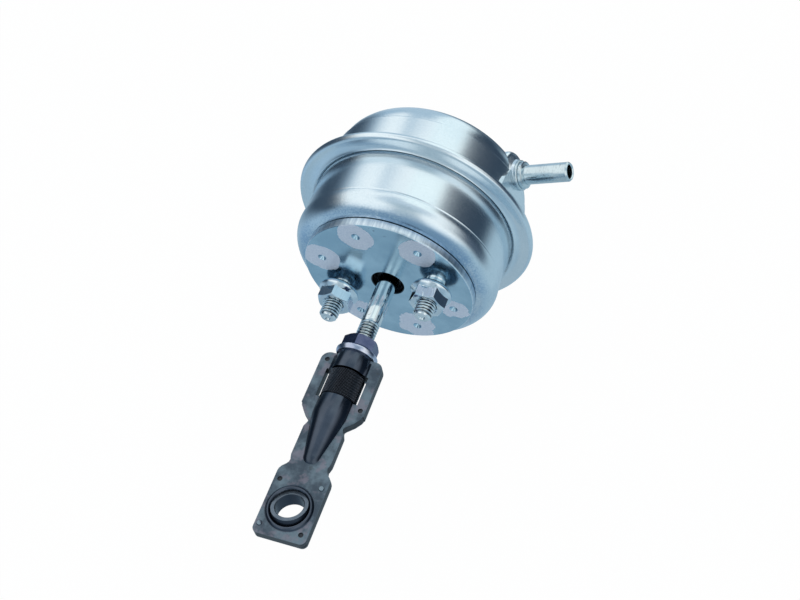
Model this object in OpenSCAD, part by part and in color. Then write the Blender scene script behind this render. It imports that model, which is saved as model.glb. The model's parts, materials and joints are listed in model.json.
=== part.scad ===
// Vacuum actuator for a turbocharger's vanes: a crimped two-piece can with a
// mounting plate and two studs, a sprung diaphragm inside, and a rod that
// ends in an adjustable ball socket. Sizes are in millimetres.
// The origin is the centre of the plate's front face. The rod points along -Y,
// the can lies behind the plate along +Y, and +Z is up.

/* [Can] */
// Outside radius of the two shells' straight walls
wall_r = 32.4; // [31.8:0.1:33.2]
// Thickness of the pressed shell sheet
sheet = 0.7; // [0.6:0.02:0.74]
// Depth of the rod side shell, from its end to the seam
lower_depth = 22.9; // [21.9:0.2:24.1]
// Depth of the far shell, from the seam to its end
upper_depth = 23.4; // [22.6:0.2:24.4]
// Radius of the rod side shell's rounded end corner
corner_r = 5.7; // [5.2:0.1:6]
// Radius of the far shell's rounded shoulder
shoulder_r = 9.1; // [8.5:0.1:9.6]
// Step inwards at the far shell's crease
crease_step = 0.65; // [0.5:0.05:0.7]
// Outside radius of the crimped rim
rim_r = 38.7; // [38.4:0.1:39.6]
// How far the rod side shell's corner stands out past its wall
bulge = 0.25; // [0.15:0.05:0.35]
// Thickness of the diaphragm sheet
rubber = 0.5; // [0.4:0.05:0.6]

/* [Mounting plate] */
// Radius of the mounting plate
plate_r = 27.2; // [26.6:0.2:28]
// Thickness of the mounting plate
plate_t = 2.5; // [2.3:0.1:2.8]
// Radius of the rod's clearance hole
rod_hole_r = 5.1; // [4.6:0.1:5.8]
// Radius of the circle of weld dimples
weld_ring_r = 21.6; // [21.2:0.2:22]
// Height of the weld points between plate and can
weld_gap = 0.25; // [0.2:0.05:0.4]

/* [Studs and nuts] */
// Diameter of the circle through the two studs
stud_circle = 34; // [33:0.5:35.5]
// Turn of the stud line about the rod
stud_angle = 27; // [24:1:30]
// Radius of the studs over the thread
stud_r = 2.95; // [2.9:0.01:2.98]
// Length of a stud out of the plate
stud_length = 13.2; // [11.5:0.1:14]
// Plain neck of each stud at the plate
neck_l = 1.5; // [1.2:0.1:1.8]
// Gap between the plate and the left nut
gap_left = 2.1; // [2.1:0.1:3.6]
// Gap between the plate and the right nut
gap_right = 3.1; // [2.1:0.1:3.6]
// Thread pitch of the studs and of the rod
pitch = 1; // [0.9:0.05:1.1]
// Width of the nuts across their flats
nut_flats = 9.8; // [9.6:0.1:10.1]
// Height of the nuts with their flange
nut_h = 6; // [5.6:0.1:6.4]
// Radius of the nuts' flange
nut_flange_r = 6.4; // [6.3:0.1:7]

/* [Hose nipple] */
// Distance of the nipple's axis behind the plate's face
nipple_y = 42; // [41.4:0.1:42.4]
// Outside radius of the nipple's tube
nipple_r = 3; // [2.8:0.1:3.2]
// Radius of the nipple's bore
nipple_bore_r = 2.1; // [1.7:0.1:2.2]
// Length of tube that stands out of the collar
nipple_length = 14.6; // [11.6:0.5:19.6]
// How far the pad's face stands out past the wall
pad_rise = 0.1; // [0.1:0.1:0.6]
// Slope of the pad's lower part, out towards the rim
pad_slope = 5; // [4:0.5:6]

/* [Rod] */
// Radius of the rod's plain shank
rod_r = 3; // [2.98:0.01:3.1]
// Radius of the rod over its thread
rod_thread_r = 2.95; // [2.9:0.01:2.97]
// Distance from the plate to the lock nut
nut_start = 22.5; // [21.5:0.5:24]
// Length of thread seen between shank and lock nut
thread_seen = 7.5; // [7:0.5:10]
// Length of rod past the lock nut
rod_past_nut = 18; // [17.4:0.1:18.4]

/* [Rod end] */
// Turn of the rod end about the rod
end_roll = 7; // [-20:1:20]
// Thickness of each of the two stamped sheets
half_t = 1.5; // [1.4:0.05:1.6]
// Half width of the rod end's shoulders
shoulder_w = 9.5; // [9.2:0.1:9.8]
// Half width of the neck
neck_w = 6; // [5.7:0.1:6.2]
// Half width at the eye
eye_w = 7.8; // [7.6:0.1:8.3]
// Outside radius of the formed barrel around the rod
barrel_r = 5.4; // [5.2:0.05:5.6]
// Length of the adjuster's window
window_l = 9.4; // [9:0.1:10]
// Distance from the lock nut's face to the window
window_start = 5.9; // [5.6:0.1:6.3]
// Distance from the lock nut's face to the eye's centre
eye_reach = 50.3; // [49.9:0.2:52.1]
// Radius of the ball in the eye
ball_r = 5.65; // [5.55:0.05:5.75]
// Half width of the ball over its flat faces
ball_half = 2.25; // [2.15:0.05:2.35]
// Radius of the ball's bore
ball_bore_r = 4; // [3.8:0.05:4.1]
// Tilt of the ball at rest
ball_tilt = 15.1; // [0:0.1:19]
// Direction in which the ball leans at rest
ball_turn = 108.5; // [0:0.5:359]

/* [Inside] */
// Outside radius of the piston cup
piston_r = 26; // [25:0.5:27]
// Depth of the piston cup
piston_depth = 12; // [11:0.5:13]
// Wire radius of the return spring
wire_r = 1.3; // [1.1:0.05:1.4]
// Mean radius of the return spring's coil
coil_r = 15; // [14:0.5:16]
// Number of turns of the return spring
coil_turns = 6; // [5:0.5:6]

/* [Hidden] */
$fn = 96;

run = 0.05;                                // radial play of a running fit
stop_gap = 0.3;                            // rest gap between washer and shell
shell_y = plate_t + weld_gap;              // rod side shell's end face
seam_y = shell_y + lower_depth;            // seat of the diaphragm's rim
can_end = seam_y + upper_depth;            // far end of the can
in_r = wall_r - sheet;                     // inside radius of the walls
bulge_r = wall_r + bulge;
pad_face = wall_r + pad_rise;              // distance of the pad's face from the can's axis
collar_r = nipple_r + 1.7;
corner_c = [bulge_r - corner_r, shell_y + corner_r];
crease_y = corner_c[1] + corner_r * sin(11);
dome_r = wall_r - crease_step;             // far shell beyond its crease
shoulder_c = [dome_r - shoulder_r, can_end - shoulder_r];
hole_in_shell = rod_hole_r + 1.6;
lip_r = wall_r + 0.8;                      // free edge of the crimped lip
rim_in = rim_r - sheet - 0.35;             // edge of the clamped flanges
fold_r = sheet + rubber / 2 + sheet / 2;   // rounding of the rim
root_r = stud_r - 0.58 * pitch;            // thread root
rod_root_r = rod_thread_r - 0.58 * pitch;
weld_angles = [37.4, 90, 142.6, 217.4, 270, 322.6];
nut_bore = stud_r + run;
turn_left = 22;                            // where the nuts' corners stand
turn_right = 48;
lock_turn = 8.5;
lock_bore = rod_thread_r + run;
washer_y = shell_y + sheet + stop_gap;     // stack on the rod, from its shoulder
washer_t = 1;
skin_y = washer_y + washer_t;
cup_y = skin_y + rubber;
head_y = cup_y + sheet + 0.1;
stem_r = 2.2;
nut_face = -(nut_start + nut_h);           // lock nut's face on the rod end
end_top = nut_face - 0.4;
win_a = nut_face - window_start;
win_b = win_a - window_l;
eye_y = nut_face - eye_reach;
rod_tip = nut_face - rod_past_nut;
thread_top = -(nut_start - thread_seen);
cone_start = win_b - 5.7;                  // barrel turns into a cone
cone_end = eye_y + 16.3;                   // centre of the cone's rounded tip
cone_tip_r = 2.9;
window_w = barrel_r + 1.1;                 // half width of the adjuster's window
waist_y = win_b - 8;                       // notch below the shoulders
flare_y = eye_y + 15.5;                    // neck opens to the eye
foot_y = eye_y - 8.9;
foot_r = 6.6;                              // foot and crest of the eye's collar
crest_r = 6;
crest_z = half_t + 0.9;
seat_y = can_end - sheet;                  // inside of the far end

// turns a profile drawn as [radius, y] about the rod's axis
module about_rod() { rotate([-90, 0, 0]) rotate_extrude() children(); }
// a solid drawn along +Z, laid along +Y from y
module along(y) { translate([0, y, 0]) rotate([-90, 0, 0]) children(); }
// turns about the rod's axis, X towards Z
module at_angle(a) { rotate([0, -a, 0]) children(); }
module box2(x0, y0, x1, y1) { translate([x0, y0]) square([x1 - x0, y1 - y0]); }

// n thread crests as [radius, y]; the last grooves grow shallower over "fade" turns
function zigzag(y0, n, crest, root, p, fade = 0) =
    [for (i = [0 : n - 1]) let (g = root + (crest - root) * max(0, i + 1 - n + fade) / (fade + 1))
        each [[g, y0 + i * p], [crest, y0 + (i + 0.42) * p], [crest, y0 + (i + 0.58) * p]]];

// threaded bar along +Y from y0 to y1, its first end chamfered and centre-drilled
module thread_bar(y0, y1, crest, root, p) {
    n = floor((y1 - y0 - 1.2) / p);
    s = y0 + (y1 - y0 - n * p) / 2;
    about_rod() polygon(concat([[0, y0 + 0.4], [0.8, y0 + 0.4], [1.2, y0], [root - 0.25, y0], [root, s]],
        zigzag(s, n, crest, root, p), [[root, s + n * p], [root, y1], [0, y1]]));
}

// flange nut from its flange face at y to the hexagon's end at y + h
module flange_nut(y, h, bore) {
    e = nut_flats / 2;
    difference() {
        union() {
            intersection() {
                along(y + 1.6) rotate([0, 0, 30]) cylinder(r = e / cos(30), h = h - 1.6, $fn = 6);
                about_rod() polygon([[0, y], [nut_flange_r, y], [nut_flange_r, y + h - 1.3],
                    [e * 1.15, y + h - 0.5], [e * 0.96, y + h], [0, y + h]]);
            }
            about_rod() polygon([[0, y], [nut_flange_r - 0.5, y], [nut_flange_r - 0.1, y + 0.7],
                [nut_flange_r, y + 1], [nut_flange_r, y + 1.35], [nut_flange_r - 0.2, y + 1.6],
                [e + 0.15, y + 2.45], [0, y + 2.45]]);
        }
        about_rod() polygon([[0, y - 1], [bore + 0.7, y - 1], [bore + 0.7, y], [bore, y + 0.7],
            [bore, y + h - 0.6], [bore + 0.6, y + h], [bore + 0.6, y + h + 1], [0, y + h + 1]]);
    }
}

module mounting_plate() color([0.62, 0.68, 0.75]) {
    difference() {
        union() {
            about_rod() polygon([[rod_hole_r, 0.25], [rod_hole_r + 0.25, 0], [plate_r - 0.35, 0],
                [plate_r, 0.35], [plate_r, plate_t], [rod_hole_r, plate_t]]);
            for (a = weld_angles) at_angle(stud_angle + a)
                translate([weld_ring_r, 0, 0]) along(plate_t - 0.1) cylinder(r = 2.2, h = weld_gap + 0.1);
        }
        for (a = weld_angles) at_angle(stud_angle + a)
            translate([weld_ring_r, 0, 0]) along(-0.2) cylinder(r1 = 1.45, r2 = 0.4, h = 1.2);
        for (s = [0, 180]) at_angle(stud_angle + s)
            translate([stud_circle / 2, 0, 0]) along(-1) cylinder(r = stud_r + 0.45, h = plate_t + 2);
    }
}

// stud: a pressed-in head in the plate, a plain neck for the bracket, then thread
module stud(s) color([0.66, 0.7, 0.76])
    at_angle(stud_angle + s) translate([stud_circle / 2, 0, 0]) {
        along(0) cylinder(r = stud_r + 0.45, h = plate_t);
        along(-neck_l) cylinder(r = stud_r, h = neck_l);
        thread_bar(-stud_length, -neck_l, stud_r, root_r, pitch);
    }
module stud_left() stud(180);
module stud_right() stud(0);

module stud_nut(s, gap, turn) color([0.66, 0.72, 0.8])
    at_angle(stud_angle + s) translate([stud_circle / 2, -gap, 0])
        rotate([0, turn, 0]) mirror([0, 1, 0]) flange_nut(0, nut_h, nut_bore);
module nut_left() stud_nut(180, gap_left, turn_left);
module nut_right() stud_nut(0, gap_right, turn_right);

module lower_shell() color([0.6, 0.67, 0.75]) {
    fl = seam_y - sheet;
    about_rod() difference() {
        union() {
            box2(0, shell_y, corner_c[0], fl + sheet);
            translate(corner_c) circle(corner_r);
            box2(0, corner_c[1], wall_r, seam_y);
            box2(0, fl, rim_in, seam_y);
            difference() {
                box2(0, fl - 0.7, wall_r + 0.7, seam_y);
                translate([wall_r + 0.7, fl - 0.7]) circle(0.7);
            }
        }
        // crease between corner and neck
        translate([wall_r + 0.4, crease_y + 0.1]) circle(0.6);
        box2(wall_r, crease_y, bulge_r + 1, crease_y + 3);
        // inside
        box2(-1, shell_y + sheet, corner_c[0], seam_y + 1);
        intersection() {
            translate(corner_c) circle(corner_r - sheet);
            box2(0, 0, in_r, seam_y);
        }
        box2(-1, corner_c[1], in_r, seam_y + 1);
        box2(-1, 0, hole_in_shell, seam_y);
        box2(-1, 0, 0, can_end);
    }
}

// space inside the far shell, drawn as [radius, y]
module dome_space() {
    difference() {
        union() {
            box2(-1, seam_y + rubber - 1, in_r, shoulder_c[1] - 1);
            box2(-1, seam_y, dome_r - sheet, shoulder_c[1]);
            box2(-1, seam_y, shoulder_c[0], seat_y);
            translate(shoulder_c) circle(shoulder_r - sheet);
        }
        box2(-2, 0, 0, can_end + 1);
    }
}

module upper_shell() color([0.6, 0.67, 0.75]) {
    lo = seam_y + rubber;
    lip = seam_y - sheet - 0.05;
    mid = (lip + lo) / 2;
    step_y = shoulder_c[1] - 0.4;
    difference() {
        union() {
            about_rod() difference() {
                union() {
                    // wall up to its rounded crease, then the dome
                    box2(0, lo, wall_r - 0.5, step_y);
                    box2(0, lo, wall_r, step_y - 0.5);
                    translate([wall_r - 0.5, step_y - 0.5]) circle(0.5);
                    box2(0, lo, dome_r, shoulder_c[1]);
                    box2(0, lo, shoulder_c[0], can_end);
                    translate(shoulder_c) circle(shoulder_r);
                    // flange over the seam, its rounded rim and the folded lip
                    box2(wall_r, lip - sheet, rim_r - fold_r, lo + sheet);
                    intersection() {
                        translate([rim_r - fold_r, mid]) circle(fold_r);
                        box2(0, lip - sheet, rim_r + 1, lo + sheet);
                    }
                    difference() {
                        box2(wall_r, lo, wall_r + 0.9, lo + sheet + 0.9);
                        translate([wall_r + 0.9, lo + sheet + 0.9]) circle(0.9);
                    }
                }
                box2(wall_r - 1, lip - sheet - 1, lip_r, lip + 0.3);
                box2(-1, 0, 0, can_end + 1);
            }
            pad(0);
        }
        // seat of the clamped edges
        about_rod() box2(0, lip, rim_in + 0.05, lo);
        about_rod() dome_space();
        pad(sheet);
        at_angle(stud_angle) translate([0, nipple_y, 0]) rotate([0, 90, 0])
            cylinder(r = nipple_r, h = pad_face + 2);
        // shallow recess pressed in the far end
        along(can_end - 0.25) cylinder(r1 = 12, r2 = 12.6, h = 0.5);
    }
}

// flat pad and rounded boss pressed out of the wall under the nipple;
// k is the depth below its outer surface
module pad(k) {
    f = pad_face - k;
    at_angle(stud_angle) rotate([0, 90, 0]) {
        translate([0, nipple_y, 0]) rotate_extrude() {
            polygon([[0, pad_face - 10.2], [3.5 - 1.3 * k, pad_face - 10], [7.7 - k, pad_face - 5.1 + 0.4 * k],
                [7.7 - k, pad_face - 3.7], [7.1 - k, pad_face - 2.4], [5.1 - k, pad_face - 0.8 - k],
                [4.8 - k, f], [0, f]]);
            translate([5.8, pad_face - 3.7]) circle(1.9 - k);
        }
        translate([0, nipple_y - 4.6, f]) rotate([-pad_slope, 0, 0]) translate([0, 0, -8])
            linear_extrude(8) polygon([[-5.6 + k, 2], [-6.3 + k, 0], [-7.6 + k, -2.6], [-9.2 + k, -11.5],
                [9.2 - k, -11.5], [7.6 - k, -2.6], [6.3 - k, 0], [5.6 - k, 2]]);
    }
}

// washer brazed between pad and nipple
module nipple_collar() color([0.72, 0.74, 0.72])
    at_angle(stud_angle) translate([0, nipple_y, 0]) rotate([0, 90, 0]) rotate_extrude()
        polygon([[nipple_r, pad_face], [collar_r - 0.2, pad_face], [collar_r, pad_face + 0.2],
            [collar_r, pad_face + 0.6], [collar_r - 0.2, pad_face + 0.8], [nipple_r, pad_face + 0.8]]);

module hose_nipple() color([0.74, 0.75, 0.72]) {
    z1 = pad_face + 0.8;
    z2 = z1 + 1.3;
    tip = z2 + nipple_length;
    ring = collar_r - 0.5;
    at_angle(stud_angle) translate([0, nipple_y, 0]) rotate([0, 90, 0]) rotate_extrude()
        polygon([[nipple_bore_r, in_r - 2.6], [nipple_r, in_r - 2.6], [nipple_r, z1], [ring - 0.2, z1],
            [ring, z1 + 0.2], [ring, z2 - 0.25], [ring - 0.3, z2], [nipple_r, z2 + 0.15],
            [nipple_r, tip - 0.5], [nipple_r - 0.35, tip], [nipple_bore_r + 0.25, tip],
            [nipple_bore_r, tip - 0.3]]);
}

// rolling diaphragm: clamped rim, wall down the shell, floor under the piston
module diaphragm() color([0.1, 0.1, 0.11]) {
    a = in_r - 0.35;
    b = piston_r + 0.1;
    c = b + rubber;
    about_rod() polygon([[stem_r, skin_y], [b - 1.2, skin_y], [c - 0.5, skin_y + 0.3], [c, skin_y + 1],
        [a, seam_y - 0.9], [a, seam_y], [rim_in, seam_y], [rim_in, seam_y + rubber], [a - rubber, seam_y + rubber],
        [a - rubber, seam_y - 0.9], [b, cup_y + 1], [b - 0.3, cup_y + 0.1], [b - 1.2, cup_y], [stem_r, cup_y]]);
}

module piston_cup() color([0.62, 0.64, 0.66]) {
    t = sheet + 0.1;
    top = cup_y + piston_depth;
    about_rod() polygon([[stem_r, cup_y], [piston_r - 1.6, cup_y], [piston_r - 0.5, cup_y + 0.45],
        [piston_r, cup_y + 1.6], [piston_r, top], [piston_r - t, top], [piston_r - t, cup_y + 1.8],
        [piston_r - t - 0.9, cup_y + t + 0.1], [piston_r - 2.2, cup_y + t], [stem_r, cup_y + t]]);
}

module piston_washer() color([0.6, 0.62, 0.64])
    about_rod() polygon([[stem_r, washer_y], [piston_r - 8.4, washer_y], [piston_r - 8, washer_y + 0.4],
        [piston_r - 8, skin_y], [stem_r, skin_y]]);

// rod: thread that runs out into the plain shank, then a riveted stem in the piston
module actuator_rod() color([0.7, 0.74, 0.78]) {
    n = floor((thread_top - rod_tip - 0.6) / pitch);
    s = thread_top - n * pitch;
    about_rod() polygon(concat([[0, rod_tip], [rod_root_r - 0.25, rod_tip], [rod_root_r, s]],
        zigzag(s, n, rod_thread_r, rod_root_r, pitch, 2),
        [[rod_thread_r, thread_top], [rod_r, thread_top + 0.3], [rod_r, washer_y], [stem_r, washer_y],
        [stem_r, head_y], [4, head_y], [4, head_y + 0.7], [2.6, head_y + 1.5], [0, head_y + 1.5]]));
}

// compression spring between the piston cup and the can's far end
module return_spring() color([0.4, 0.42, 0.44]) {
    lo = head_y + wire_r;
    hi = seat_y - sheet - wire_r - 0.02;
    steps = 24;
    sides = 10;
    n = round(coil_turns * steps);
    m = n + 2 * steps;
    g = [for (i = [0 : m]) i < steps ? 2 * wire_r * i / steps * 0.98 :
        i > m - steps ? hi - lo - 2 * wire_r * (m - i) / steps * 0.98 :
        2 * wire_r * 0.98 + (hi - lo - 4 * wire_r * 0.98) * (i - steps) / n];
    pts = [for (i = [0 : m]) let (a = 360 * i / steps) for (j = [0 : sides - 1])
        let (b = 360 * j / sides, r = coil_r + wire_r * cos(b)) [r * cos(a), lo + g[i] + wire_r * sin(b), r * sin(a)]];
    side = [for (i = [0 : m - 1]) for (j = [0 : sides - 1]) let (k = (j + 1) % sides)
        [i * sides + j, (i + 1) * sides + j, (i + 1) * sides + k, i * sides + k]];
    ends = [[for (j = [0 : sides - 1]) j], [for (j = [sides - 1 : -1 : 0]) m * sides + j]];
    polyhedron(points = pts, faces = concat(side, ends), convexity = 10);
}

// stamped seat that centres the spring on the far end
module spring_seat() color([0.58, 0.6, 0.63]) {
    e = coil_r - wire_r - 0.4;
    f = seat_y - sheet;
    about_rod() polygon([[coil_r - 8, f], [e - 1.6, f], [e - 1.2, f - 2.2], [e - 0.5, f - 2.2],
        [e, f - 0.3], [e + 0.4, f], [coil_r + 4, f], [coil_r + 4, seat_y], [coil_r - 8, seat_y]]);
}

module lock_nut() color([0.55, 0.58, 0.7])
    at_angle(lock_turn) flange_nut(nut_face, nut_h, lock_bore);

// half outline of a rod end sheet below its shoulders, as [half width, y]
function edge_points() = [[shoulder_w, waist_y + 5.6], [shoulder_w - 0.5, waist_y + 4],
    [shoulder_w - 1.8, waist_y + 2.2], [neck_w - 0.4, waist_y + 0.3], [neck_w - 0.7, waist_y - 0.2],
    [neck_w - 0.6, waist_y - 0.8], [neck_w, waist_y - 2.2], [neck_w, flare_y], [neck_w - 0.25, flare_y - 1],
    [neck_w - 0.45, flare_y - 1.6], [neck_w - 0.3, flare_y - 2.4], [eye_w - 1.7, flare_y - 3],
    [eye_w - 0.6, flare_y - 4.1], [eye_w - 0.15, flare_y - 4.9], [eye_w, flare_y - 5.8], [eye_w, foot_y + 2]];

// outline of a rod end sheet, seen from above
module sheet_outline() {
    r = 2.6;
    e = edge_points();
    n = len(e);
    difference() {
        union() {
            box2(-shoulder_w, waist_y + 5, shoulder_w, end_top - r);
            box2(-shoulder_w + r, end_top - r, shoulder_w - r, end_top);
            for (s = [-1, 1]) translate([s * (shoulder_w - r), end_top - r]) circle(r);
            polygon(concat(e, [for (i = [n - 1 : -1 : 0]) [-e[i][0], e[i][1]]]));
            box2(-eye_w + 1.6, foot_y, eye_w - 1.6, foot_y + 3);
            for (s = [-1, 1]) translate([s * (eye_w - 1.6), foot_y + 1.6]) circle(1.6);
            box2(-eye_w, foot_y + 1.6, eye_w, foot_y + 3);
        }
        box2(-window_w, win_b, window_w, win_a);
    }
}

// one stamped half, its formed side up; the other is the same part turned over
module rod_end_half() {
    in = barrel_r - half_t;
    difference() {
        union() {
            linear_extrude(half_t) sheet_outline();
            // half barrel above and below the window, then half a cone
            intersection() {
                union() {
                    along(win_a) cylinder(r = barrel_r, h = nut_face - win_a);
                    along(cone_start) cylinder(r = barrel_r, h = win_b - cone_start);
                    along(cone_end) cylinder(r1 = cone_tip_r, r2 = barrel_r, h = cone_start - cone_end);
                    // rounded foot where the barrel leaves the sheet
                    for (x = [-1, 1]) translate([x * (barrel_r - 2.7), 0, -0.9])
                        along(win_a) cylinder(r = 4, h = nut_face - win_a - 1.4);
                    translate([0, cone_end, 0]) sphere(cone_tip_r);
                }
                translate([-10, cone_end - 5, 0]) cube([20, 60, 12]);
            }
            // collar round the ball
            translate([0, eye_y, 0]) rotate_extrude() polygon([[0, 0], [foot_r + 0.5, 0], [foot_r + 0.5, half_t],
                [foot_r + 0.1, half_t + 0.15], [foot_r - 0.1, crest_z - 0.3], [crest_r + 0.15, crest_z],
                [crest_r - 0.2, crest_z], [ball_r - 0.3, crest_z - 0.5], [0, crest_z - 0.5]]);
        }
        along(win_a - 1) cylinder(r = in, h = nut_face - win_a + 2);
        along(cone_start) cylinder(r = in, h = win_b - cone_start + 1);
        along(cone_end) cylinder(r1 = cone_tip_r - half_t, r2 = in, h = cone_start - cone_end);
        translate([0, cone_end, 0]) sphere(cone_tip_r - half_t);
        translate([0, eye_y, 0]) sphere(ball_r + run);
        // clinch points
        for (p = [[-shoulder_w + 2, end_top - 2.5], [shoulder_w - 1.5, waist_y + 6.5],
                [-eye_w + 1.7, eye_y + 7.6], [eye_w - 2, eye_y - 6.3]])
            translate([p[0], p[1], half_t - 0.4]) cylinder(r1 = 0.65, r2 = 0.85, h = 1);
    }
    for (p = [[eye_w - 1.6, eye_y + 7.8], [-eye_w + 1.4, eye_y - 6.1]])
        translate([p[0], p[1], half_t - 0.1]) cylinder(r1 = 0.85, r2 = 0.65, h = 0.4);
}
module rod_end_upper() color([0.16, 0.18, 0.19]) at_angle(end_roll) rod_end_half();
module rod_end_lower() color([0.16, 0.18, 0.19]) at_angle(end_roll) mirror([0, 0, 1]) rod_end_half();

// knurled nut in the window, threaded on the rod
module adjuster_nut() color([0.14, 0.14, 0.15]) {
    g = 0.25;
    r = barrel_r;
    about_rod() polygon([[lock_bore, win_b + g + 0.5], [lock_bore + 0.5, win_b + g], [r - 0.4, win_b + g],
        [r, win_b + g + 0.4], [r, win_a - g - 0.4], [r - 0.4, win_a - g], [lock_bore + 0.5, win_a - g],
        [lock_bore, win_a - g - 0.5]]);
}

module eye_ball() color([0.3, 0.35, 0.42])
    translate([0, eye_y, 0]) at_angle(end_roll) rotate([0, ball_tilt, ball_turn]) difference() {
        intersection() {
            sphere(ball_r);
            translate([0, 0, -ball_half]) cylinder(r = ball_r + 1, h = 2 * ball_half);
        }
        translate([0, 0, -9]) cylinder(r = ball_bore_r, h = 18);
        for (s = [0, 1]) mirror([0, 0, s]) translate([0, 0, ball_half - 0.2])
            cylinder(r1 = ball_bore_r, r2 = ball_bore_r + 0.4, h = 0.4);
    }

mounting_plate();
stud_left();
stud_right();
nut_left();
nut_right();
lower_shell();
upper_shell();
nipple_collar();
hose_nipple();
diaphragm();
piston_cup();
piston_washer();
actuator_rod();
return_spring();
spring_seat();
lock_nut();
rod_end_upper();
rod_end_lower();
adjuster_nut();
eye_ball();
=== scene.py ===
import json
import math

import bmesh
import bpy
from mathutils import Matrix, Vector


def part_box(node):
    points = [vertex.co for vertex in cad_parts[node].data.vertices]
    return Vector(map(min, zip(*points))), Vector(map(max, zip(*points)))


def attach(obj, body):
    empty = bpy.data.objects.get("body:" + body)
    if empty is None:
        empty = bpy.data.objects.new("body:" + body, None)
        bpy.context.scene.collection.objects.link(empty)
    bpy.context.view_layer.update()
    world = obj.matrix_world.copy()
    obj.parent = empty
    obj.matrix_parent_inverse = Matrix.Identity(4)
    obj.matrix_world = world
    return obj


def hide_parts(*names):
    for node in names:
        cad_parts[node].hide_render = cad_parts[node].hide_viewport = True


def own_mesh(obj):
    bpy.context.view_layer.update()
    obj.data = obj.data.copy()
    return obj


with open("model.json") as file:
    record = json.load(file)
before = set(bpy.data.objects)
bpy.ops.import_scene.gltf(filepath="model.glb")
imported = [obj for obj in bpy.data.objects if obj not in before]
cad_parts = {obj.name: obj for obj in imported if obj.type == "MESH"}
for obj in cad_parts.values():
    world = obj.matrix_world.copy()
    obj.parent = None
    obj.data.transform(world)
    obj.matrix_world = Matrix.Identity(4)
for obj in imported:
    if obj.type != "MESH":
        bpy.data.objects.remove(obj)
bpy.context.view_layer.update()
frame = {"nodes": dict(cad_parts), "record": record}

MM = 0.001
NODES = frame["nodes"]

# Places and sizes that pieces and finishes share.
# The rod's axis is Y, and the plate's front face is at y = 0.

# line through both studs, from +X towards +Z
STUD_ANGLE = math.radians(27)
STUD_CIRCLE_R = 17 * MM
# six welds: degrees from the studs' line, and how far each mark reaches in mm
WELD_RING_R = 21.6 * MM
WELD_ANGLES = (37.4, 90, 142.6, 217.4, 270, 322.6)
WELD_REACH = (5.8, 5.7, 6.1, 5.5, 6.2, 4.8)
# M6 threads in mm; at their tips they are cut down to TIP_R
CREST_R, ROOT_R, TIP_R, PITCH = 2.95, 2.37, 2.12, 1
STUD_TIP_Y, STUD_NECK_Y = -13.2, -1.5
ROD_TIP_Y, SHANK_Y = -46.5, -15
# rod end and the ball in its eye
END_ROLL = math.radians(7)
EYE_Y = -78.8 * MM
BALL_AXIS = (-0.199702, 0.24704, 0.948204)
# points round a turned piece or the floor
SIDES = 64


class Value:
    """A socket's value; arithmetic on it adds Math nodes."""

    def __init__(self, net, socket):
        self.net, self.socket = net, socket

    def __add__(self, other):
        return self.net.math("ADD", self, other)

    def __radd__(self, other):
        return self.net.math("ADD", other, self)

    def __sub__(self, other):
        return self.net.math("SUBTRACT", self, other)

    def __rsub__(self, other):
        return self.net.math("SUBTRACT", other, self)

    def __mul__(self, other):
        return self.net.math("MULTIPLY", self, other)

    def __truediv__(self, other):
        return self.net.math("DIVIDE", self, other)

    def __pow__(self, other):
        return self.net.math("POWER", self, other)


class Net:
    """Adds and links the nodes of one tree."""

    def __init__(self, tree):
        self.tree = tree

    def add(self, kind, settings=None, sockets=None, out=0):
        """Makes a node with its settings and sockets; gives the output named by out."""
        node = self.tree.nodes.new(kind)
        for name, value in (settings or {}).items():
            setattr(node, name, value)
        for name, value in (sockets or {}).items():
            self.plug(node.inputs[name], value)
        return Value(self, node.outputs[out]) if node.outputs else node

    def plug(self, socket, value):
        if isinstance(value, Value):
            self.tree.links.new(value.socket, socket)
        elif isinstance(value, (tuple, list)) and socket.type == "RGBA":
            socket.default_value = (*value[:3], 1.0)
        else:
            socket.default_value = value

    def math(self, operation, *values):
        return self.add("ShaderNodeMath", {"operation": operation}, dict(enumerate(values)))

    def vector(self, operation, *values, out=0):
        sockets = dict(enumerate(values))
        return self.add("ShaderNodeVectorMath", {"operation": operation}, sockets, out)

    def join(self, x, y, z):
        return self.add("ShaderNodeCombineXYZ", None, {0: x, 1: y, 2: z})

    def split(self, value):
        return [self.add("ShaderNodeSeparateXYZ", None, {0: value}, out) for out in (0, 1, 2)]

    def step(self, value, low, high):
        """0 below low, 1 above high, smooth between; the other way round if high is below low."""
        flip = high < low
        made = self.add(
            "ShaderNodeMapRange",
            {"interpolation_type": "SMOOTHSTEP"},
            {0: value, 1: min(low, high), 2: max(low, high), 3: 0.0, 4: 1.0},
        )
        return 1.0 - made if flip else made

    def mix(self, factor, first, second):
        """Two colours mixed: the first at 0, the second at 1."""
        return self.add("ShaderNodeMix", {"data_type": "RGBA"}, {0: factor, 6: first, 7: second}, 2)

    def noise(self, where, scale, detail, rough, seed):
        return self.add(
            "ShaderNodeTexNoise",
            {"noise_dimensions": "4D"},
            {"Vector": where, "W": seed, "Scale": scale, "Detail": detail, "Roughness": rough},
        )

    def bump(self, height, distance, strength=1.0, normal=None):
        sockets = {"Height": height, "Distance": distance, "Strength": strength}
        if normal is not None:
            sockets["Normal"] = normal
        return self.add("ShaderNodeBump", None, sockets)


class Finish(Net):
    """A material with one Principled shader, whose maker reads where = Object coordinates."""

    def __init__(self, name):
        self.material = bpy.data.materials.new(name)
        self.material.use_nodes = True
        super().__init__(self.material.node_tree)
        self.tree.nodes.clear()
        self.shader = self.tree.nodes.new("ShaderNodeBsdfPrincipled")
        self.output = self.tree.nodes.new("ShaderNodeOutputMaterial")
        self.tree.links.new(self.shader.outputs[0], self.output.inputs[0])
        self.where = self.add("ShaderNodeTexCoord", None, None, "Object")

    def set(self, **sockets):
        for name, value in sockets.items():
            self.plug(self.shader.inputs[name.replace("_", " ")], value)
        return self.material


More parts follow.
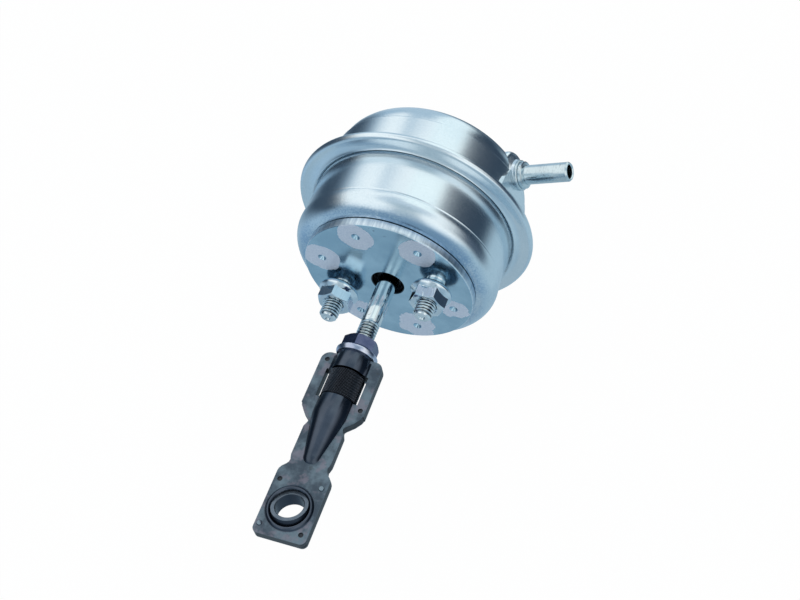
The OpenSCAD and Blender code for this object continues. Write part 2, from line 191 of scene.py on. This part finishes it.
def around_rod(net, x, z):
    """Distance from the rod's axis, and the angle about it."""
    radius = net.math("SQRT", x * x + z * z)
    return radius, net.math("ARCTAN2", z, x)


# Finishes


def zinc_sheet():
    """Satin bluish zinc on the drawn shells, tinted by heat round the plate."""
    f = Finish("shell_zinc")
    x, y, z = f.split(f.where)
    radius, angle = around_rod(f, x, z)
    cloud = f.noise(f.where, 42.0, 3.0, 0.55, 1.0)
    grain = f.noise(f.where, 3000.0, 1.0, 0.5, 2.0)
    speck = f.noise(f.where, 1900.0, 1.0, 0.5, 3.0)
    drawn = f.noise(f.join(angle * 0.002, y * 3.0, radius * 3.0), 420.0, 3.0, 0.6, 4.0)
    colour = f.mix(f.step(cloud, 0.35, 0.66), (0.66, 0.76, 0.83), (0.73, 0.81, 0.86))
    colour = f.mix(f.step(grain, 0.35, 0.7) * 0.45, colour, (0.84, 0.90, 0.94))
    colour = f.mix(f.step(speck, 0.55, 0.75) * 0.14, colour, (0.42, 0.50, 0.56))
    heat = f.step(y, 5.4 * MM, 3.0 * MM) * f.step(cloud + (speck - 0.5) * 0.3, 0.3, 0.6)
    heat = heat * f.step(z, -70 * MM, 10 * MM)
    colour = f.mix(heat * 0.85, colour, (0.26, 0.42, 0.60))
    rough = 0.2 + (grain - 0.5) * 0.12 + (drawn - 0.5) * 0.06
    # painted shade in the rod's hole
    bore = f.step(radius, 7.4 * MM, 7.0 * MM) * f.step(y, 6 * MM, 5 * MM)
    colour = f.mix(bore, colour, (0.03, 0.04, 0.05))
    # fillet under the rim: the sheet rises towards the can's neck
    lip = f.step(y, 23.2 * MM, 23.6 * MM) * f.step(y, 24.6 * MM, 24.4 * MM)
    rise = f.math("MINIMUM", f.math("MAXIMUM", (37.4 * MM - radius) / (4.2 * MM), 0.0), 1.0)
    fillet = f.bump(rise ** 3.0 * lip, 1.2 * MM)
    height = grain * 0.7 + drawn * 0.3
    normal = f.bump(height + speck * 0.3, 0.011 * MM, 0.9, fillet)
    return f.set(Base_Color=colour, Metallic=1.0, Roughness=rough, Normal=normal)


def plate_zinc():
    """Glossy zinc plate with pale, ragged weld marks and a sheared edge."""
    f = Finish("plate_zinc")
    x, y, z = f.split(f.where)
    radius, angle = around_rod(f, x, z)
    cloud = f.noise(f.where, 85.0, 3.0, 0.6, 4.0)
    fine = f.noise(f.where, 1500.0, 2.0, 0.6, 5.0)
    wobble = f.noise(f.where, 170.0, 4.0, 0.62, 6.0)
    speck = f.noise(f.where, 620.0, 1.0, 0.5, 7.0)
    marks = None
    for turn, reach in zip(WELD_ANGLES, WELD_REACH):
        a = STUD_ANGLE + math.radians(turn)
        centre = (WELD_RING_R * math.cos(a), 0.0, WELD_RING_R * math.sin(a))
        gap = f.vector("DISTANCE", f.where, centre, out=1)
        # the lower marks are more ragged; each leaves its dimple bare
        ragged = 3.5 * MM if turn < 180 else 7.0 * MM
        mark = f.step(gap + (wobble - 0.5) * ragged, reach * MM, (reach - 0.22) * MM)
        mark = mark * f.step(gap, 1.25 * MM, 1.5 * MM)
        marks = mark if marks is None else f.math("MAXIMUM", marks, mark)
    front = f.step(y, 1.3 * MM, 1.1 * MM) * f.step(radius, 27.0 * MM, 26.95 * MM)
    marks = marks * front
    edge = f.step(radius, 26.9 * MM, 27.0 * MM)
    sheared = f.noise(f.join(angle * 0.027, y * 0.12, 0.0), 900.0, 3.0, 0.6, 8.0)
    colour = f.mix(f.step(cloud, 0.35, 0.7), (0.37, 0.54, 0.66), (0.48, 0.66, 0.78))
    colour = f.mix(f.step(speck, 0.7, 0.75) * 0.55, colour, (0.12, 0.17, 0.2))
    pale = f.mix(f.step(fine, 0.3, 0.8), (0.62, 0.67, 0.78), (0.76, 0.79, 0.88))
    colour = f.mix(marks, colour, pale)
    side = f.mix(f.step(sheared, 0.35, 0.65), (0.48, 0.58, 0.68), (0.78, 0.86, 0.92))
    colour = f.mix(edge, colour, side)
    # painted shade on the wall of the rod's hole
    hole = f.step(radius, 5.5 * MM, 5.25 * MM)
    colour = f.mix(hole, colour, (0.02, 0.025, 0.035))
    rough = 0.19 + marks * 0.27 + (fine - 0.5) * 0.06 + edge * 0.14
    height = fine * 0.5 + marks * 0.8 + sheared * edge * 0.4
    return f.set(
        Base_Color=colour,
        Metallic=1.0 - marks * 0.4,
        Roughness=rough,
        Normal=f.bump(height, 0.012 * MM, 0.6),
    )


def bright_zinc(name, low, high, rough, seed, grime=0.0, back_dark=False, stems=(), tip=0.0):
    """Bright zinc on turned and rolled steel, with fine marks along it.

    grime: how dark the marks are. back_dark: painted shade on the stud nuts next to the plate.
    stems: places of threads along the studs' line; their hollows get painted shade, down to tip.
    """
    f = Finish(name)
    x, y, z = f.split(f.where)
    cloud = f.noise(f.where, 160.0, 2.0, 0.5, seed)
    fine = f.noise(f.where, 2200.0, 2.0, 0.6, seed + 1.0)
    drawn = f.noise(f.join(x, y * 0.04, z), 2600.0, 2.0, 0.6, seed + 2.0)
    speck = f.noise(f.where, 800.0, 1.0, 0.5, seed + 3.0)
    colour = f.mix(f.step(cloud, 0.35, 0.65), low, high)
    colour = f.mix(f.step(speck, 0.68, 0.74) * 0.5, colour, (0.25, 0.27, 0.29))
    if grime:
        colour = f.mix(f.step(drawn, 0.45, 0.7) * grime, colour, (0.3, 0.33, 0.36))
    if back_dark:
        # painted shade on the nuts next to the plate; the right nut stands 1 mm further out than
        # the left one
        right = f.step(x, -1 * MM, 1 * MM)
        colour = f.mix(f.step(y + right * MM, -2.5 * MM, -2.2 * MM), colour, (0.10, 0.14, 0.18))
    gap = None
    for reach in stems:
        axis = (reach * math.cos(STUD_ANGLE), reach * math.sin(STUD_ANGLE))
        own = f.math("SQRT", (x - axis[0]) * (x - axis[0]) + (z - axis[1]) * (z - axis[1]))
        gap = own if gap is None else f.math("MINIMUM", gap, own)
    if gap is not None:
        # painted shade in the threads' hollows
        hollow = f.step(gap, 2.84 * MM, 2.5 * MM) * f.step(y, tip + 0.4 * MM, tip + 0.9 * MM)
        colour = f.mix(hollow * 0.85, colour, (0.07, 0.10, 0.12))
    return f.set(
        Base_Color=colour,
        Metallic=1.0,
        Roughness=rough + (fine - 0.5) * 0.1 + (drawn - 0.5) * 0.08,
        Normal=f.bump(fine * 0.6 + drawn * 0.4, 0.01 * MM, 0.5),
    )


def dark_phosphate():
    """Rod end sheet: mottled blue-grey flats with rosy patches, painted highlights on the edges,
    painted shade on the side walls, black formed parts.
    """
    f = Finish("rod_end_dark")
    x, y, z = f.split(f.where)
    # height over the plane in which the two sheets meet; their flats are at 1.5 mm
    height = f.math("ABSOLUTE", z * math.cos(END_ROLL) - x * math.sin(END_ROLL))
    from_eye = f.vector("DISTANCE", f.where, (0.0, EYE_Y, 0.0), out=1)
    cloud = f.noise(f.where, 150.0, 4.0, 0.62, 21.0)
    rosy = f.noise(f.where, 230.0, 3.0, 0.6, 22.0)
    fine = f.noise(f.where, 1700.0, 2.0, 0.6, 23.0)
    speck = f.noise(f.where, 520.0, 2.0, 0.6, 24.0)
    flat = f.step(height, 1.44 * MM, 1.49 * MM) * f.step(height, 1.62 * MM, 1.53 * MM)
    edge = f.step(height, 1.30 * MM, 1.36 * MM) * f.step(height, 1.49 * MM, 1.44 * MM)
    # the clinched points that stand out beside the eye
    point = f.step(height, 1.6 * MM, 1.7 * MM) * f.step(from_eye, 8.6 * MM, 9.0 * MM)
    point = point * f.step(y, EYE_Y + 10.5 * MM, EYE_Y + 10 * MM)
    sheet = f.mix(f.step(cloud, 0.38, 0.63), (0.05, 0.072, 0.10), (0.15, 0.205, 0.25))
    sheet = f.mix(f.step(rosy, 0.5, 0.62) * 0.55, sheet, (0.235, 0.205, 0.255))
    sheet = f.mix(f.step(speck, 0.62, 0.72) * 0.45, sheet, (0.045, 0.055, 0.06))
    formed_shade_and_sheen = f.mix(f.step(cloud, 0.3, 0.7), (0.06, 0.075, 0.10), (0.085, 0.102, 0.135))
    # painted shade on the sheets' side walls
    wall = f.step(height, 1.36 * MM, 1.30 * MM)
    formed_shade_and_sheen = f.mix(wall, formed_shade_and_sheen, (0.018, 0.022, 0.03))
    # painted highlight along the sheets' rounded edges
    formed_shade_and_sheen = f.mix(edge * 0.7, formed_shade_and_sheen, (0.20, 0.25, 0.29))
    formed_shade_and_sheen = f.mix(point, formed_shade_and_sheen, (0.20, 0.26, 0.31))
    return f.set(
        Base_Color=f.mix(flat, formed_shade_and_sheen, sheet),
        Metallic=1.0 - flat * 0.55 - wall * 0.8,
        Roughness=0.22 + flat * 0.18 + wall * 0.2 + (fine - 0.5) * 0.12,
        Normal=f.bump(fine, 0.02 * MM, 0.4),
    )


def black_knurl():
    """Black knurled steel: painted highlight on the points, painted shade in the hollows."""
    f = Finish("adjuster_dark")
    x, _, z = f.split(f.where)
    radius, _ = around_rod(f, x, z)
    fine = f.noise(f.where, 2400.0, 2.0, 0.6, 41.0)
    # painted highlight on the points and painted shade in the hollows, by radius
    peak = f.step(radius, 5.25 * MM, 5.38 * MM)
    return f.set(
        Base_Color=f.mix(peak, (0.016, 0.018, 0.024), (0.13, 0.145, 0.175)),
        Metallic=1.0,
        Roughness=0.28 + (fine - 0.5) * 0.15,
        Normal=f.bump(fine, 0.012 * MM, 0.4),
    )


def blue_nut():
    """Lock nut: dark blue-violet hexagon, and a flange painted paler as painted reflection."""
    f = Finish("lock_nut_blue")
    _, y, _ = f.split(f.where)
    cloud = f.noise(f.where, 300.0, 3.0, 0.6, 39.0)
    fine = f.noise(f.where, 2200.0, 2.0, 0.6, 40.0)
    # the flange is painted paler than the hexagon: painted reflection
    hexagon = f.step(y, -27.0 * MM, -26.6 * MM)
    dark = f.mix(f.step(cloud, 0.35, 0.65), (0.085, 0.105, 0.20), (0.135, 0.155, 0.26))
    pale = f.mix(f.step(cloud, 0.35, 0.65), (0.42, 0.46, 0.60), (0.62, 0.65, 0.74))
    return f.set(
        Base_Color=f.mix(hexagon, pale, dark),
        Metallic=1.0,
        Roughness=0.14 + hexagon * 0.08 + (fine - 0.5) * 0.12,
        Normal=f.bump(fine, 0.015 * MM, 0.5),
    )


def ball_steel():
    """Blue-grey flat faces on the pierced ball; painted shade makes the bore and round side black.
    """
    f = Finish("ball_steel")
    from_centre = f.vector("SUBTRACT", f.where, (0.0, EYE_Y, 0.0))
    along = f.math("ABSOLUTE", f.vector("DOT_PRODUCT", from_centre, BALL_AXIS, out=1))
    face = f.step(along, 2.08 * MM, 2.2 * MM)
    cloud = f.noise(f.where, 420.0, 3.0, 0.6, 43.0)
    fine = f.noise(f.where, 2600.0, 2.0, 0.6, 44.0)
    pale = f.mix(f.step(cloud, 0.35, 0.65), (0.13, 0.16, 0.20), (0.18, 0.215, 0.26))
    return f.set(
        # painted shade makes the bore and the round side black
        Base_Color=f.mix(face, (0.05, 0.06, 0.08), pale),
        Metallic=1.0 - face * 0.4,
        Roughness=0.28 + face * 0.12 + (fine - 0.5) * 0.12,
        Normal=f.bump(fine, 0.012 * MM, 0.4),
    )


def plain(name, low, high, metal, rough, seed):
    """A finish that varies between two near colours."""
    f = Finish(name)
    cloud = f.noise(f.where, 900.0, 3.0, 0.6, seed)
    fine = f.noise(f.where, 3600.0, 2.0, 0.6, seed + 1.0)
    return f.set(
        Base_Color=f.mix(f.step(cloud, 0.3, 0.7), low, high),
        Metallic=metal,
        Roughness=rough + (fine - 0.5) * 0.15,
        Normal=f.bump(fine, 0.02 * MM, 0.4),
    )


FINISHES = {
    "shell_zinc": zinc_sheet(),
    "plate_zinc": plate_zinc(),
    "stud_zinc": bright_zinc(
        "stud_zinc", (0.66, 0.74, 0.78), (0.78, 0.84, 0.87), 0.1, 31.0,
        stems=(-STUD_CIRCLE_R, STUD_CIRCLE_R), tip=STUD_TIP_Y * MM),
    "nut_zinc": bright_zinc(
        "nut_zinc", (0.60, 0.70, 0.78), (0.74, 0.82, 0.87), 0.08, 33.0, grime=0.2, back_dark=True),
    "nipple_zinc": bright_zinc(
        "nipple_zinc", (0.52, 0.61, 0.66), (0.62, 0.71, 0.75), 0.15, 35.0, grime=0.3),
    "rod_zinc": bright_zinc(
        "rod_zinc", (0.60, 0.68, 0.72), (0.72, 0.79, 0.82), 0.07, 37.0, grime=0.35,
        stems=(0.0,), tip=ROD_TIP_Y * MM),
    "lock_nut_blue": blue_nut(),
    "rod_end_dark": dark_phosphate(),
    "adjuster_dark": black_knurl(),
    "ball_steel": ball_steel(),
    "diaphragm_rubber": plain(
        "diaphragm_rubber", (0.02, 0.02, 0.02), (0.03, 0.03, 0.03), 0.0, 0.7, 45.0),
    "pressed_steel": plain("pressed_steel", (0.45, 0.47, 0.5), (0.55, 0.57, 0.6), 1.0, 0.35, 47.0),
    "spring_steel": plain("spring_steel", (0.22, 0.23, 0.25), (0.32, 0.33, 0.35), 1.0, 0.3, 49.0),
}

for part in frame["record"]["subparts"]:
    mesh = NODES[part["node"]].data
    mesh.materials.clear()
    mesh.materials.append(FINISHES[part["material_slot"]])


# Shapes that repeat


class Shape(Net):
    """A Geometry Nodes tree whose inputs are named sizes."""

    def __init__(self, name, lengths, counts):
        super().__init__(bpy.data.node_groups.new(name, "GeometryNodeTree"))
        face = self.tree.interface
        for labels, kind in ((lengths, "Float"), (counts, "Int"), (["Finish"], "Material")):
            for label in labels:
                face.new_socket(label, in_out="INPUT", socket_type="NodeSocket" + kind)
        face.new_socket("Geometry", in_out="OUTPUT", socket_type="NodeSocketGeometry")
        self.inputs = self.tree.nodes.new("NodeGroupInput")

    def sizes(self, *labels):
        return [Value(self, self.inputs.outputs[label]) for label in labels]

    def grid(self, columns, rows):
        """A flat grid with each point's column and row number."""
        sockets = {"Size X": columns, "Size Y": rows}
        sockets.update({"Vertices X": columns + 1.0, "Vertices Y": rows + 1.0})
        mesh = self.add("GeometryNodeMeshGrid", None, sockets)
        x, y, _ = self.split(self.add("GeometryNodeInputPosition"))
        return mesh, self.math("ROUND", x + columns * 0.5), self.math("ROUND", y + rows * 0.5)

    def above(self, value, limit):
        return self.math("GREATER_THAN", value, limit)

    def between(self, value, low, high):
        return self.math("MINIMUM", self.math("MAXIMUM", value, low), high)

    def about_rod(self, mesh, radius, y, turns):
        """Puts each point at its radius, its y and its share of a turn, then closes the seam."""
        angle = turns * (-2.0 * math.pi)
        across, up = self.math("COSINE", angle), self.math("SINE", angle)
        place = self.join(radius * across, y, radius * up)
        mesh = self.add("GeometryNodeSetPosition", None, {"Geometry": mesh, "Position": place})
        sockets = {"Geometry": mesh, "Distance": 0.001 * MM}
        return self.add("GeometryNodeMergeByDistance", None, sockets)

    def end(self, mesh):
        mesh = self.add("GeometryNodeRealizeInstances", None, {"Geometry": mesh})
        finish, = self.sizes("Finish")
        mesh = self.add("GeometryNodeSetMaterial", None, {"Geometry": mesh, "Material": finish})
        output = self.tree.nodes.new("NodeGroupOutput")
        self.tree.links.new(mesh.socket, output.inputs[0])
        return self.tree


def threaded_bar():
    """A right-handed screw thread: cut at 45 degrees at its start, running out at its end."""
    lengths = ("Root", "Crest", "Tip", "Pitch", "Start", "End", "Run out")
    s = Shape("threaded bar", lengths, ("Sides", "Turns"))
    root, crest, tip, pitch, start, end, fade, sides, turns = s.sizes(*lengths, "Sides", "Turns")
    mesh, column, row = s.grid(sides, turns * 4.0)
    turn = s.math("FLOOR", row * 0.25 + 0.01)
    # four points a turn, two on the root and two on the crest, at their shares of the pitch
    point = row - turn * 4.0
    on_crest = s.above(point, 1.5)
    place = s.above(point, 0.5) * 0.12 + on_crest * 0.37 + s.above(point, 2.5) * 0.14 - 0.06
    share = column / sides
    y = s.between(start + (turn + place + share - 1.0) * pitch, start, end)
    shallow = s.between((y - end + fade) / fade, 0.0, 1.0)
    depth = (crest - root) * (1.0 - on_crest) * (1.0 - shallow)
    radius = s.math("MINIMUM", crest - depth, tip + y - start)
    return s.end(s.about_rod(mesh, radius, y, share))


def knurled_sleeve():
    """A diamond knurl: peaks and hollows take turns on a grid, split from hollow to hollow."""
    lengths, counts = ("Radius", "Depth", "Start", "End"), ("Cells round", "Cells along")
    s = Shape("knurled sleeve", lengths, counts)
    radius, depth, start, end, cells_round, cells_along = s.sizes(*lengths, *counts)
    columns, rows = cells_round * 2.0, cells_along * 2.0
    mesh, column, row = s.grid(columns, rows)
    low = s.math("MODULO", column + row, 2.0)
    rim = s.math("MAXIMUM", s.above(0.5, row), s.above(row, rows - 0.5))
    radius = radius - depth * s.math("MAXIMUM", low, rim)
    mesh = s.about_rod(mesh, radius, start + (end - start) * row / rows, column / columns)
    mesh = s.add("GeometryNodeTriangulate", {"quad_method": "SHORTEST_DIAGONAL"}, {"Mesh": mesh})
    return s.end(mesh)


def wire_coil():
    """A compression spring's wire with a closed turn at each end."""
    lengths = ("Coil radius", "Wire radius", "Low", "High", "Turns")
    s = Shape("wire coil", lengths, ("Steps",))
    coil, wire, low, high, turns, steps = s.sizes(*lengths, "Steps")
    mesh = s.add("GeometryNodeMeshLine", None, {"Count": (turns + 2.0) * steps + 1.0})
    turn = s.add("GeometryNodeInputIndex") / steps
    # a closed turn rises a hair less than the wire's thickness
    closed = wire * 1.96
    rise = (high - low - closed * 2.0) / turns
    up = s.between(turn, 0.0, 1.0) * closed + s.between(turn - 1.0, 0.0, turns) * rise
    up = up + s.math("MAXIMUM", turn - turns - 1.0, 0.0) * closed
    angle = turn * (2.0 * math.pi)
    place = s.join(coil * s.math("COSINE", angle), low + up, coil * s.math("SINE", angle))
    mesh = s.add("GeometryNodeSetPosition", None, {"Geometry": mesh, "Position": place})
    path = s.add("GeometryNodeMeshToCurve", None, {"Mesh": mesh})
    section = s.add("GeometryNodeCurvePrimitiveCircle", None, {"Resolution": 14, "Radius": wire})
    sockets = {"Curve": path, "Profile Curve": section, "Fill Caps": True}
    return s.end(s.add("GeometryNodeCurveToMesh", None, sockets))


def grown(tree, finish, **sizes):
    """The plain mesh that a tree makes from its sizes, in metres and whole numbers."""
    carrier = bpy.data.objects.new("carrier", bpy.data.meshes.new("carrier"))
    bpy.context.scene.collection.objects.link(carrier)
    modifier = carrier.modifiers.new("shape", "NODES")
    modifier.node_group = tree
    sizes["Finish"] = finish
    for item in tree.interface.items_tree:
        if item.in_out == "INPUT":
            modifier[item.identifier] = sizes[item.name.replace(" ", "_")]
    bpy.context.view_layer.update()
    made = carrier.evaluated_get(bpy.context.evaluated_depsgraph_get())
    mesh = bpy.data.meshes.new_from_object(made)
    carrier.modifiers.remove(modifier)
    bpy.data.objects.remove(carrier)
    return mesh


def turned(profile, sides=SIDES):
    """Rings about the rod's axis through (radius, y) points in mm; a radius of 0 closes them."""
    points, rings, faces = [], [], []
    for radius, y in profile:
        count = sides if radius else 1
        rings.append([len(points) + k % count for k in range(sides)])
        for k in range(count):
            a = -2 * math.pi * k / sides
            points.append((radius * MM * math.cos(a), y * MM, radius * MM * math.sin(a)))
    for a, b in zip(rings, rings[1:]):
        for k in range(sides):
            n = (k + 1) % sides
            faces.append(list(dict.fromkeys((a[k], a[n], b[n], b[k]))))
    mesh = bpy.data.meshes.new("turned")
    mesh.from_pydata(points, [], faces)
    return mesh


def piece(name, meshes, node, shift=(0, 0, 0), crease=32):
    """Joins meshes into one closed piece that stands for a CAD node, with its finish and body."""
    joined = bmesh.new()
    for mesh in meshes:
        joined.from_mesh(mesh)
        bpy.data.meshes.remove(mesh)
    bmesh.ops.remove_doubles(joined, verts=joined.verts, dist=0.002 * MM)
    bmesh.ops.dissolve_degenerate(joined, dist=0.001 * MM, edges=joined.edges)
    bmesh.ops.recalc_face_normals(joined, faces=joined.faces)
    bmesh.ops.translate(joined, vec=shift, verts=joined.verts)
    mesh = bpy.data.meshes.new(name)
    joined.to_mesh(mesh)
    joined.free()
    parts = frame["record"]["subparts"]
    slot = next(part["material_slot"] for part in parts if part["node"] == node)
    mesh.materials.clear()
    mesh.materials.append(FINISHES[slot])
    for polygon in mesh.polygons:
        polygon.use_smooth = True
    mesh.set_sharp_from_angle(angle=math.radians(crease))
    obj = bpy.data.objects.new(name, mesh)
    bpy.context.scene.collection.objects.link(obj)
    bodies = frame["record"]["behaviour"]["bodies"]
    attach(obj, next(body for body, members in bodies.items() if node in members))
    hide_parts(node)
    return obj


def thread(start, end, fade, finish):
    """An M6 thread from start to end that runs out over fade, all in mm."""
    return grown(
        THREAD, FINISHES[finish], Root=ROOT_R * MM, Crest=CREST_R * MM, Tip=TIP_R * MM,
        Pitch=PITCH * MM, Start=start * MM, End=end * MM, Run_out=fade * MM,
        Sides=SIDES, Turns=math.ceil(end - start) + 2,
    )


THREAD = threaded_bar()


def drilled_tip(y, depth):
    """The end of a threaded piece at y, with its centre hole, in mm."""
    return turned([(0, y + depth), (0.8, y + depth - 0.05), (1.15, y), (TIP_R, y)])


def studs():
    """Both studs: drilled tip, rolled thread, neck, and a head pressed into the plate."""
    for side, reach in (("left", -STUD_CIRCLE_R), ("right", STUD_CIRCLE_R)):
        tip = drilled_tip(STUD_TIP_Y, 0.4)
        body = thread(STUD_TIP_Y, STUD_NECK_Y, 1.4, "stud_zinc")
        head = turned([(CREST_R, STUD_NECK_Y), (CREST_R, 0), (3.4, 0), (3.4, 2.5), (0, 2.5)])
        shift = (reach * math.cos(STUD_ANGLE), 0, reach * math.sin(STUD_ANGLE))
        piece("stud_threaded_" + side, [tip, body, head], "stud_" + side, shift)


def rod():
    """The rod: thread that runs out into the shank, then the riveted stem in the piston."""
    tip = drilled_tip(ROD_TIP_Y, 0.35)
    body = thread(ROD_TIP_Y, SHANK_Y, 2.2, "rod_zinc")
    shank = turned(
        [(CREST_R, SHANK_Y), (3, -14.7), (3, 3.65), (2.9, 3.75), (2.2, 3.75), (2.2, 6.05),
         (4, 6.05), (4, 6.75), (3.5, 7.25), (2.6, 7.55), (0, 7.55)])
    piece("rod_threaded", [tip, body, shank], "actuator_rod")


def adjuster():
    """The knurled nut in the rod end's window."""
    low, high = -43.55, -34.65
    outside, rim, bevel, cells = 5.4, 5.2, 0.3, 58
    sleeve = grown(
        knurled_sleeve(), FINISHES["adjuster_dark"],
        Radius=outside * MM, Depth=(outside - rim) * MM,
        Start=(low + bevel) * MM, End=(high - bevel) * MM, Cells_round=cells, Cells_along=14,
    )
    ends = turned(
        [(rim, high - bevel), (4.95, high), (3.5, high), (3, high - 0.5), (3, low + 0.5),
         (3.5, low), (4.95, low), (rim, low + bevel)], cells * 2)
    piece("adjuster_knurled", [sleeve, ends], "adjuster_nut", crease=20)


def inside():
    """Spring wire and rubber diaphragm, each with a mesh of its own; the real ones flatten as the
    rod slides in.
    """
    coil = grown(
        wire_coil(), FINISHES["spring_steel"], Coil_radius=15 * MM, Wire_radius=1.3 * MM,
        Low=7.35 * MM, High=46.33 * MM, Turns=6.0, Steps=36,
    )
    spring = piece("spring_wire", [coil], "return_spring")
    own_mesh(spring)
    skin = turned(
        [(2.2, 4.75), (24.9, 4.75), (25.7, 4.83), (26.25, 5.15), (26.6, 5.75), (31.35, 24.75),
         (31.35, 25.65), (37.65, 25.65), (37.65, 26.15), (30.85, 26.15), (30.85, 24.75),
         (26.1, 6.25), (25.8, 5.35), (24.9, 5.25), (2.2, 5.25), (2.2, 4.75)], 96)
    rubber = piece("diaphragm_moulded", [skin], "diaphragm")
    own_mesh(rubber)


def eased(node, width):
    """Rounds the sharp edges of a CAD node by a width in mm."""
    weld = NODES[node].modifiers.new("weld", "WELD")
    weld.merge_threshold = 0.002 * MM
    bevel = NODES[node].modifiers.new("ease", "BEVEL")
    bevel.width, bevel.segments = width * MM, 2
    bevel.limit_method, bevel.angle_limit = "ANGLE", math.radians(28)
    bevel.use_clamp_overlap = True
    bevel.harden_normals = True


studs()
rod()
adjuster()
inside()
for node in ("nut_left", "nut_right", "lock_nut"):
    eased(node, 0.16)
for node in ("rod_end_upper", "rod_end_lower"):
    eased(node, 0.22)


# Light and view


def studio():
    """The room that the metal mirrors, painted by direction; plain white to the camera.

    The camera stands towards -Y and looks ahead towards +Y; +X is on its right.
    """
    world = bpy.data.worlds.new("studio")
    world.use_nodes = True
    bpy.context.scene.world = world
    net = Net(world.node_tree)
    net.tree.nodes.clear()
    way = net.add("ShaderNodeTexCoord", None, None, "Generated")
    x, y, z = net.split(way)
    # the blue-grey table below, darker towards the camera's side and straight down
    table = net.mix(net.step(x, -0.5, 0.8), (0.40, 0.56, 0.70), (0.46, 0.61, 0.70))
    table = net.mix(net.step(y, -0.5, -1.0), table, (0.32, 0.45, 0.56))
    table = net.mix(net.step(z, -0.62, -0.80), table, (0.38, 0.52, 0.62))
    table = net.mix(net.step(z, -0.80, -0.87) * net.step(y, -0.3, -0.5), table, (0.28, 0.39, 0.49))
    # the white ceiling, less bright overhead, and a grey patch behind the camera
    sky = net.mix(net.step(z, 0.04, 0.46), table, (1.08, 1.12, 1.12))
    sky = net.mix(net.step(z, 0.80, 0.96), sky, (0.62, 0.73, 0.81))
    behind = net.step(net.math("ABSOLUTE", x), 0.36, 0.12) * net.step(y, 0.0, -0.3)
    sky = net.mix(behind * 0.85, sky, (0.42, 0.53, 0.60))
    # a grey streak ahead, and a bright one next to it
    grey = net.step(net.math("ABSOLUTE", x + 0.31), 0.27, 0.10) * net.step(y, 0.1, 0.3)
    grey = grey * net.step(z, 0.78, 0.6)
    sky = net.mix(grey * net.step(z, -0.8, -0.5), sky, (0.50, 0.64, 0.75))
    front = net.step(x, -0.14, -0.03) * net.step(x - z * 0.3, 0.30, 0.14) * net.step(y, 0.1, 0.3)
    sky = net.mix(front * net.step(z, -0.36, -0.08), sky, (1.02, 1.12, 1.12))
    # a dark belt near the horizon: on the right, and a tilted one on the left
    right = net.step(z, -0.36, -0.02) * net.step(z - net.step(y, 0.3, 0.75) * 0.2, 0.86, 0.30)
    right = right * net.step(x - z * 0.3, 0.12, 0.30) * net.step(y, -0.62, -0.1)
    dark = net.mix(net.step(y, 0.7, 0.0), (0.02, 0.04, 0.07), (0.06, 0.09, 0.135))
    sky = net.mix(right * 0.97, sky, dark)
    tilted = z + y * 0.32
    left = net.step(tilted, -0.7, -0.15) * net.step(tilted, 0.9, 0.22)
    left = left * net.step(x + z * 0.5, -0.58, -0.88) * net.step(y, -0.88, -0.5)
    sky = net.mix(left * 0.93, sky, (0.02, 0.04, 0.07))
    # two dark spots low ahead
    for place, reach in (((0.06, 0.86, -0.51), 0.34), ((0.24, 0.95, -0.20), 0.26)):
        dip = net.vector("DISTANCE", way, place, out=1)
        sky = net.mix(net.step(dip, reach, reach * 0.35) * 0.9, sky, (0.03, 0.05, 0.08))
    camera_ray = net.add("ShaderNodeLightPath", None, None, "Is Camera Ray")
    colour = net.mix(camera_ray, sky, (1.0, 1.0, 1.0))
    ground = net.add("ShaderNodeBackground", None, {"Color": colour, "Strength": 1.0})
    net.add("ShaderNodeOutputWorld", None, {"Surface": ground})


def floor():
    """A pale floor just under the can's rim; metal mirrors the studio through it."""
    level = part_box("upper_shell")[0].z - 0.05 * MM
    rings = (0.12, 0.3, 0.6)
    turns = [2 * math.pi * k / SIDES for k in range(SIDES)]
    points = [(0, 0, level)]
    for r in rings:
        points += [(r * math.cos(a), r * math.sin(a), level) for a in turns]
    faces = [(0, 1 + k, 1 + (k + 1) % SIDES) for k in range(SIDES)]
    for ring in range(len(rings) - 1):
        near, far = 1 + ring * SIDES, 1 + (ring + 1) * SIDES
        for k in range(SIDES):
            n = (k + 1) % SIDES
            faces.append((near + k, far + k, far + n, near + n))
    mesh = bpy.data.meshes.new("floor")
    mesh.from_pydata(points, [], faces)
    obj = bpy.data.objects.new("floor", mesh)
    bpy.context.scene.collection.objects.link(obj)
    f = Finish("floor_white")
    f.set(Base_Color=(1.0, 1.0, 1.0), Roughness=0.9)
    seen = f.add("ShaderNodeLightPath", None, None, "Is Camera Ray")
    mirrored = f.add("ShaderNodeLightPath", None, None, "Is Glossy Ray")
    # it glows white to the camera, but for the small share that shows a faint shade
    glow = f.add("ShaderNodeEmission", None, {"Color": (1.0, 1.0, 1.0), "Strength": 1.0})
    clear = f.add("ShaderNodeBsdfTransparent")
    paint = Value(f, f.shader.outputs[0])
    lit = f.add("ShaderNodeMixShader", None, {0: seen * 0.975, 1: paint, 2: glow})
    both = f.add("ShaderNodeMixShader", None, {0: mirrored, 1: lit, 2: clear})
    f.tree.links.new(both.socket, f.output.inputs[0])
    mesh.materials.append(f.material)


def camera():
    """The photograph's viewpoint."""
    right = Vector((0.945359, 0.326026, -0.00177))
    down = Vector((0.270448, -0.787212, -0.554216))
    ahead = Vector((-0.182082, 0.523454, -0.832371))
    data = bpy.data.cameras.new("camera")
    data.sensor_width, data.lens = 36.0, 51.716
    data.clip_start, data.clip_end = 0.01, 10.0
    obj = bpy.data.objects.new("camera", data)
    turn = Matrix((right, -down, -ahead)).transposed().to_4x4()
    obj.matrix_world = Matrix.Translation(Vector((68.898, -186.682, 289.532)) * MM) @ turn
    bpy.context.scene.collection.objects.link(obj)
    bpy.context.scene.camera = obj


studio()
floor()
camera()
bpy.context.scene.view_settings.view_transform = "Standard"
